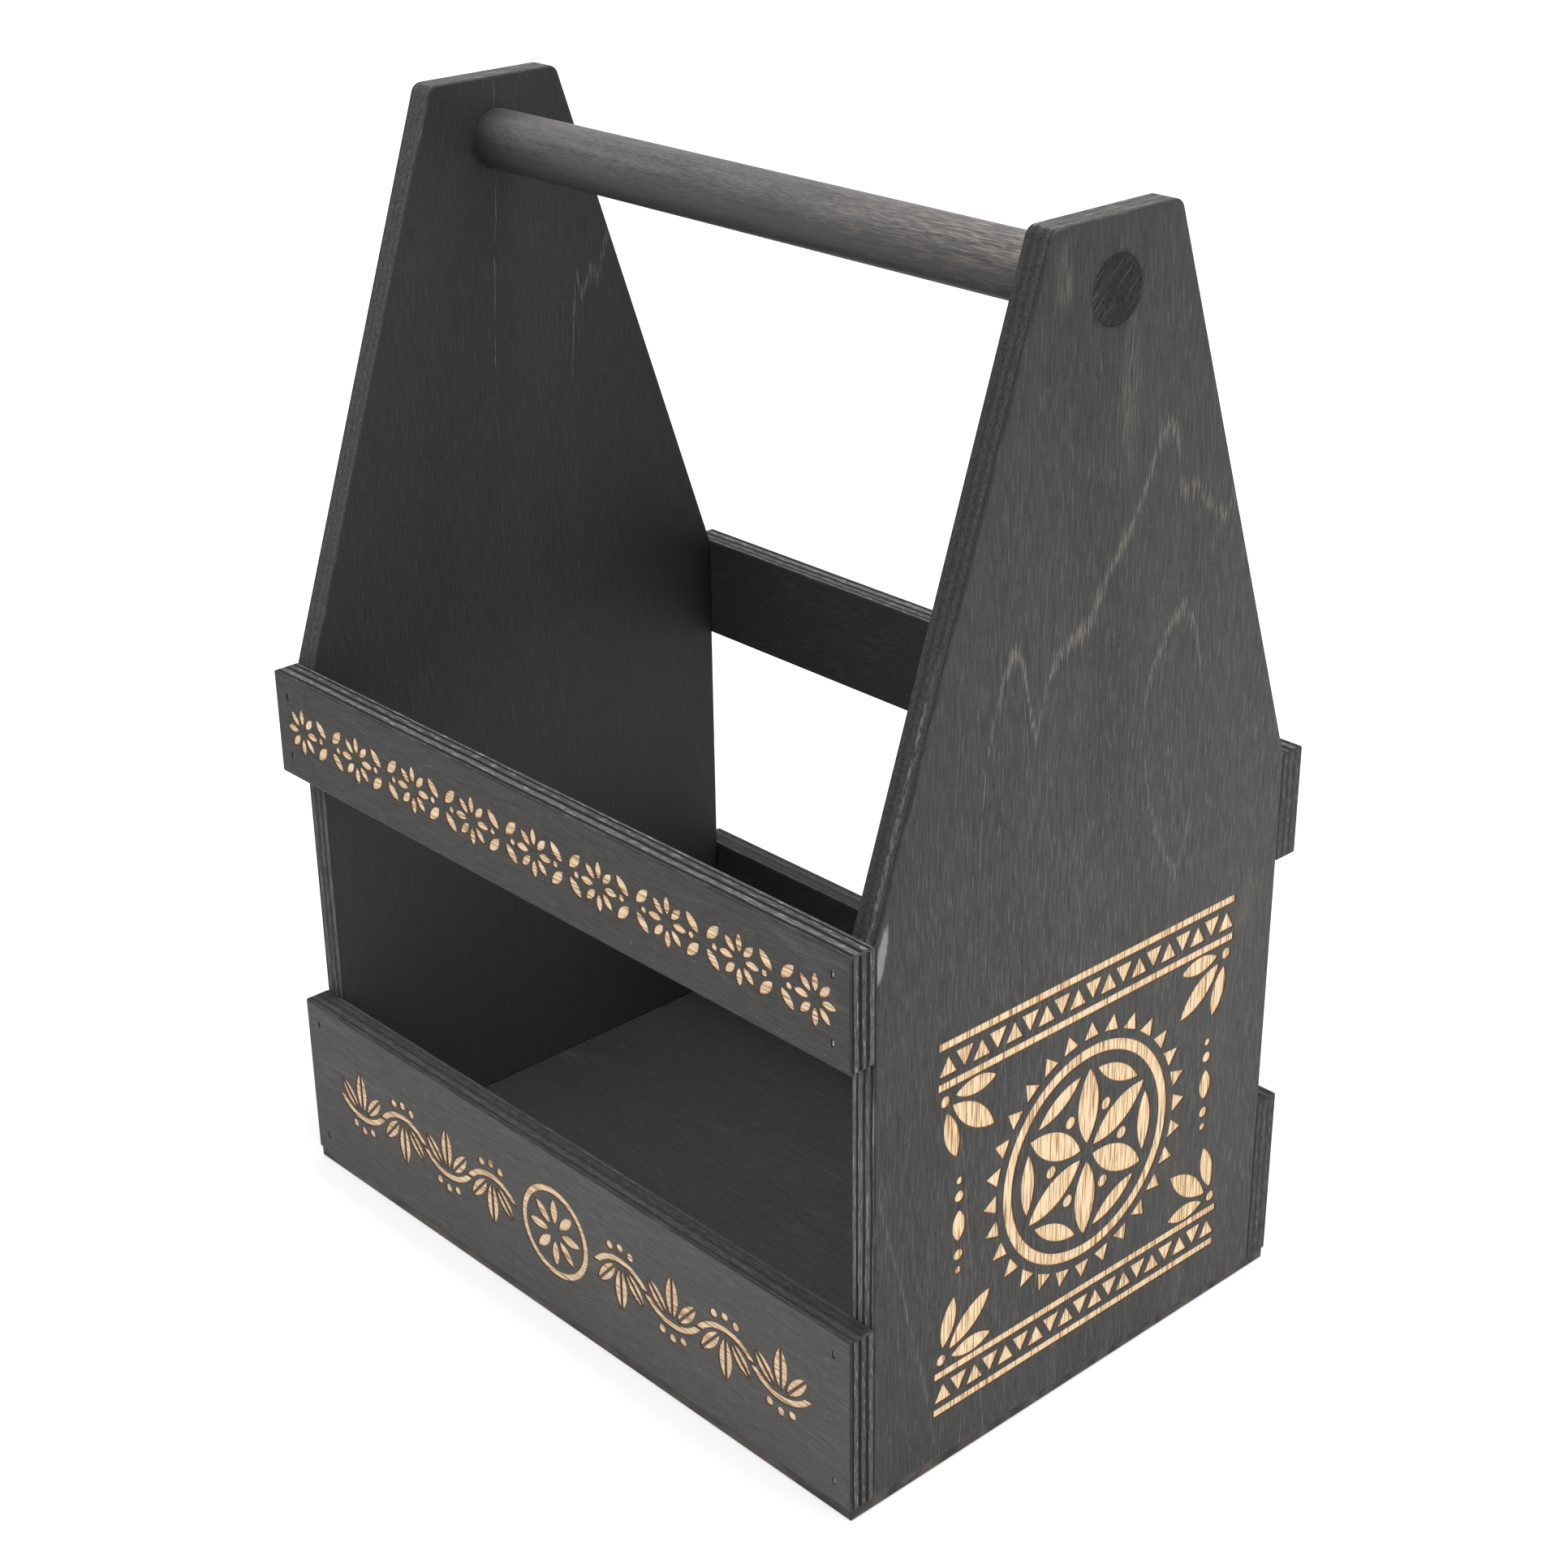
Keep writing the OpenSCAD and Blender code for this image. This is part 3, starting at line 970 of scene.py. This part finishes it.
for node in SLATS:
    side = -1 if "front" in node else 1
    outer = veneers["upper_slat" if "upper" in node else "lower_slat"]
    long_edge = edges["slat_ply_edge" if "upper" in node else "slat_ply_soft_edge"]
    cut_end = edges["slat_ply_end" if "front" in node else "slat_ply_soft_end"]
    board = block(node + "_board", *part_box(node))
    dress(board, (outer, veneers["slat_inside"], long_edge, worn_arris, cut_end),
          lambda face: slat_part(face, side))
    ease_arrises(board, ARRIS, 3)
    cut_away(board, brad_cutters[node], keep=True)
    boards[node] = board

base = block("bottom_board", *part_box("base_board"))
dress(base, (veneers["base_face"], edges["base_ply_edge"], worn_arris, dark_wall),
      lambda face: 2 if abs(face.normal.z) < 0.5 else 0 if face.normal.z > 0 else 1)
ease_arrises(base, BASE_ARRIS, 3)
cut_away(base, brad_cutters["base"], keep=True)
boards["base_board"] = base
for owner in BRAD_SETS:
    bpy.data.objects.remove(brad_cutters[owner])
print("Boards:", ", ".join(sorted(boards)))

# %% [markdown]
# ## Shapes for the ornament
#
# The ornament is old chip-carving stock: a six-petal rosette drawn with a compass, rings,
# teeth, leaves and dots. Each shape is a flat face first. A petal is a compass arc, made by
# spinning one point about a centre, closed by a straight edge and mirrored, because two
# equal arcs always make that pointed oval.

# %% Ornament shapes
PETAL_STEPS = 10


def flat_shape(piece, turn=0.0, x=0.0, y=0.0):
    """Turns a flat shape's mesh by degrees about the origin and moves it by mm."""
    piece.data.transform(
        Matrix.Translation((x * MM, y * MM, 0)) @ Matrix.Rotation(math.radians(turn), 4, "Z"))
    return piece


def disc(radius, corners=32):
    """A flat round face, or a triangle or lozenge with few corners, in mm."""
    object_mode()
    bpy.ops.mesh.primitive_circle_add(vertices=corners, radius=radius * MM, fill_type="NGON")
    return bpy.context.object


def petal(length, width, rib=0.0):
    """A pointed oval along Y with its foot at the origin. rib leaves a line of wood down its middle."""
    rise = (width - rib) / 2
    radius = (length * length / 4 + rise * rise) / (2 * rise)
    piece = disc(radius, 3)
    bpy.ops.object.mode_set(mode="EDIT")
    bpy.ops.mesh.select_mode(type="VERT")
    bpy.ops.mesh.select_all(action="SELECT")
    bpy.ops.mesh.merge(type="CENTER")
    bpy.ops.mesh.select_all(action="SELECT")
    bpy.ops.transform.translate(value=(rib / 2 * MM, 0, 0))
    bpy.ops.mesh.spin(steps=PETAL_STEPS, angle=-2 * math.asin(length / 2 / radius),
                      center=((rib / 2 + rise - radius) * MM, length / 2 * MM, 0), axis=(0, 0, 1))
    bpy.ops.mesh.select_all(action="SELECT")
    bpy.ops.mesh.edge_face_add()
    modify(piece, "MIRROR", merge_threshold=0.01 * MM)
    return piece


def ring(radius, width, corners=96):
    """A flat ring whose outer edge has this radius."""
    piece = disc(radius, corners)
    pick(piece)
    bpy.ops.mesh.inset(thickness=width * MM)
    bpy.ops.mesh.delete(type="FACE")
    work_on(piece)
    return piece


def copies(piece, places):
    """The shape at each (turn, x, y), modelled once and copied, each copy with its own mesh."""
    made = []
    for turn, x, y in places:
        twin = piece.copy()
        twin.data = piece.data.copy()
        bpy.context.scene.collection.objects.link(twin)
        made.append(flat_shape(twin, turn, x, y))
    bpy.data.objects.remove(piece)
    return made


def polar(turn, radius):
    """The place at a radius from the middle, turned by degrees from straight up."""
    angle = math.radians(turn)
    return -radius * math.sin(angle), radius * math.cos(angle)


def round_places(count, radius, start=0.0):
    """Places evenly round a circle, each turned to point outwards."""
    turns = [start + 360 * k / count for k in range(count)]
    return [(turn, *polar(turn, radius)) for turn in turns]


# %% [markdown]
# ## From flat shapes to engraving
#
# All shapes of one ornament are joined. An inset gives every one a narrow rim, which becomes
# the scorched outline, and an extrusion makes them solids that reach from above the wood to
# the depth of the groove. The whole set is then taken out of the board in one cut.

# %% Engraving tools
GROOVE_DEPTH = 0.3 * MM
RIM = 0.22 * MM
SHAPE_MERGE = 0.005 * MM
# A flat shape's own X runs along the board, its Y goes up and its Z points out of the face
FACING_RIGHT = Matrix(((0, 0, 1, 0), (1, 0, 0, 0), (0, 1, 0, 0), (0, 0, 0, 1)))
FACING_FRONT = Matrix(((1, 0, 0, 0), (0, 0, -1, 0), (0, 1, 0, 0), (0, 0, 0, 1)))


def engrave(board, shapes, floor_finish, middle, facing):
    """Joins flat shapes into one cutter, turns and moves it to a face and takes it out of a board."""
    work_on(shapes[0])
    for shape in shapes:
        shape.select_set(True)
    bpy.ops.object.join()
    cutter = bpy.context.object
    cutter.name = "ornament_cutter"
    for material in (floor_finish, scorched_rim, charred_wall):
        cutter.data.materials.append(material)
    pick(cutter)
    bpy.ops.mesh.remove_doubles(threshold=SHAPE_MERGE)
    bpy.ops.transform.translate(value=(0, 0, -GROOVE_DEPTH))
    bpy.ops.mesh.inset(thickness=RIM)
    bpy.ops.mesh.select_all(action="INVERT")
    cutter.active_material_index = 1
    bpy.ops.object.material_slot_assign()
    bpy.ops.mesh.select_all(action="SELECT")
    bpy.ops.mesh.extrude_region_move(TRANSFORM_OT_translate={"value": (0, 0, GROOVE_DEPTH + OPENING)})
    bpy.ops.mesh.select_all(action="SELECT")
    bpy.ops.mesh.normals_make_consistent(inside=False)
    pick(cutter, "FACE", lambda face: abs(face.normal.z) < 0.5)
    cutter.active_material_index = 2
    bpy.ops.object.material_slot_assign()
    work_on(cutter)
    cutter.matrix_world = Matrix.Translation(middle) @ facing
    apply_place(cutter)
    before = len(board.data.polygons)
    cut_away(board, cutter)
    print(board.name, "faces:", before, "to", len(board.data.polygons))


# %% [markdown]
# ## Ornament on the right end
#
# The end carries the large design: a six-petal rosette in a toothed ring, leaf sprays in the
# four corners and a band of triangles above and below.

# %% End panel ornament
def compass_leaf(length, width, turn, radius):
    """A petal whose middle lies at a radius in the direction of turn, and which lies across it."""
    foot = Vector(polar(turn, radius)) + Vector(polar(turn - 90, length / 2))
    return flat_shape(petal(length, width), turn + 90, foot.x, foot.y)


def fan(leaves, x, y, turn):
    """Petals that spread from one point: each is length, width, its own turn and its foot's distance."""
    made = []
    for length, width, own_turn, start in leaves:
        out_x, out_y = polar(turn + own_turn, start)
        made.append(flat_shape(petal(length, width), turn + own_turn, x + out_x, y + out_y))
    return made


PETALS, TEETH = 6, 28
DOT_CORNERS = 20
shapes = copies(petal(23, 8.2), round_places(PETALS, 2.4))
shapes += [compass_leaf(19, 5.2, turn, 22.4) for turn in range(30, 390, 60)]
shapes += copies(disc(1.9, DOT_CORNERS), round_places(PETALS, 13.6, 30))
shapes += [ring(31.6, 3.4), *copies(disc(3.5, 3), round_places(TEETH, 35.6))]

SPRAY = ((19.5, 6.4, 0, 3.8), (15, 5.2, 37, 3.8), (15, 5.2, -37, 3.8))
for side_x, side_y, turn in ((-1, -1, -52), (1, -1, 52), (1, 1, 128), (-1, 1, -128)):
    shapes += fan(SPRAY, side_x * 53.5, side_y * 38.5, turn)
    shapes += [flat_shape(disc(1.7, DOT_CORNERS), 0, side_x * 53, side_y * 38)]

FLANK = 47.5
for side_x in (-1, 1):
    shapes += [compass_leaf(9.5, 4.8, -90 * side_x, FLANK)]
    shapes += [flat_shape(disc(radius, DOT_CORNERS), 0, side_x * FLANK, y)
               for y, radius in ((-13.2, 1.2), (-8.6, 1.7), (8.6, 1.7), (13.2, 1.2))]

BAND_LENGTH, BAR_WIDTH, BAR_OFFSET = 111, 2.4, 5.6
BAND_TEETH, TOOTH_STEP, TOOTH_SINK = 19, 5.8, 0.95
for band_y in (-48, 48):
    shapes += copies(disc(3.8, 3), [
        (180 * (k % 2), TOOTH_STEP * (k - BAND_TEETH // 2), band_y + TOOTH_SINK * (1 if k % 2 else -1))
        for k in range(BAND_TEETH)])
    for edge_y in (-BAR_OFFSET, BAR_OFFSET):
        bpy.ops.mesh.primitive_plane_add(size=MM)
        bar = bpy.context.object
        bar.data.transform(Matrix.Diagonal((BAND_LENGTH, BAR_WIDTH, 1, 1)))
        shapes.append(flat_shape(bar, 0, 0, band_y + edge_y))
engrave(panels["right"], shapes, panel_engraved, (panel_high.x, 2.5 * MM, 71 * MM), FACING_RIGHT)

# %% [markdown]
# ## Ornament on the front slats
#
# The upper slat has a running border of small flowers and crossed leaves. The lower one has a
# vine: a wavy stem made of ring segments that meet where they cross the middle line, with
# leaves in every bend and berries outside it.

# %% Upper slat border
BORDER_STEP = 13.0
shapes = []
for k in range(-8, 9):
    if k % 2:
        shapes += fan([(6.8, 3.1, turn, 1.8) for turn in (45, 135, 225, 315)], k * BORDER_STEP, 0, 0)
        shapes += copies(disc(1.1, 16), [(0, k * BORDER_STEP + x, 0) for x in (-4.2, 4.2)])
    else:
        shapes += copies(petal(5.4, 2.5), [(turn, x + k * BORDER_STEP, y)
                                           for turn, x, y in round_places(8, 1.9)])
engrave(boards["front_upper_slat"], shapes, slat_engraved, (0, cad_low.y, 145 * MM), FACING_FRONT)

# %% Lower slat vine
ARC_RADIUS, ARC_HALF_ANGLE, STEM = 13.6, 50.0, 2.1
STEM_GAP = 0.5
ARC_STEP = 2 * ARC_RADIUS * math.sin(math.radians(ARC_HALF_ANGLE))
ARC_SINK = ARC_RADIUS * math.cos(math.radians(ARC_HALF_ANGLE))


def stem_arc():
    """The part of a ring above a chord: one bend of the vine, a hair short of the next one."""
    piece = flat_shape(ring(ARC_RADIUS + STEM / 2, STEM), y=-ARC_SINK)
    pick(piece)
    bpy.ops.mesh.bisect(plane_co=(0, STEM_GAP / 2 * MM, 0), plane_no=(0, 1, 0),
                        use_fill=False, clear_inner=True)
    work_on(piece)
    return piece


shapes = [ring(14.4, 2.2, 64), *copies(petal(8.6, 3.3), round_places(8, 2.5))]
bends = [(side * (17.6 + (k + 0.5) * ARC_STEP), k) for side in (-1, 1) for k in range(4)]
shapes += copies(stem_arc(), [(180 * (k % 2), x, 0) for x, k in bends])
for x, k in bends:
    turn = 180 * (k % 2)
    out = -1 if k % 2 else 1
    shapes += copies(petal(13.6, 5.2, 0.5), [(180 + turn, x, out * 2.6)])
    shapes += copies(petal(11.0, 4.3, 0.5), [(180 + turn + 42, x + out * 2.2, out * 2.6),
                                             (180 + turn - 42, x - out * 2.2, out * 2.6)])
    shapes += copies(disc(1.4, 20), [(0, x, out * 9.0), (0, x - 4.2, out * 8.0), (0, x + 4.2, out * 8.0)])
engrave(boards["front_lower_slat"], shapes, slat_engraved, (0, cad_low.y, 29 * MM), FACING_FRONT)

# %% [markdown]
# ## Finish and place the pieces
#
# Each board is shaded smooth over its small bevels, rides on the carrier's only body and
# takes the place of its CAD node.

# %% Smooth, ride, replace
for piece in (*panels.values(), *boards.values()):
    smooth_finish(piece)
takes_place = [
    (panels["right"], "end_panel_right", "stained_panel_ply"),
    (panels["left"], "end_panel_left", "stained_panel_ply"),
    (handle, "handle_dowel", "stained_dowel"),
    (boards["base_board"], "base_board", "stained_base_ply"),
    *[(boards[node], node, "stained_slat_ply") for node in SLATS],
]
for piece, node, slot in takes_place:
    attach(piece, "root")
    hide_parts(node)
    print(piece.name, "stands for", node)

# %% Light level
scene = bpy.context.scene
scene.view_settings.view_transform = "Standard"
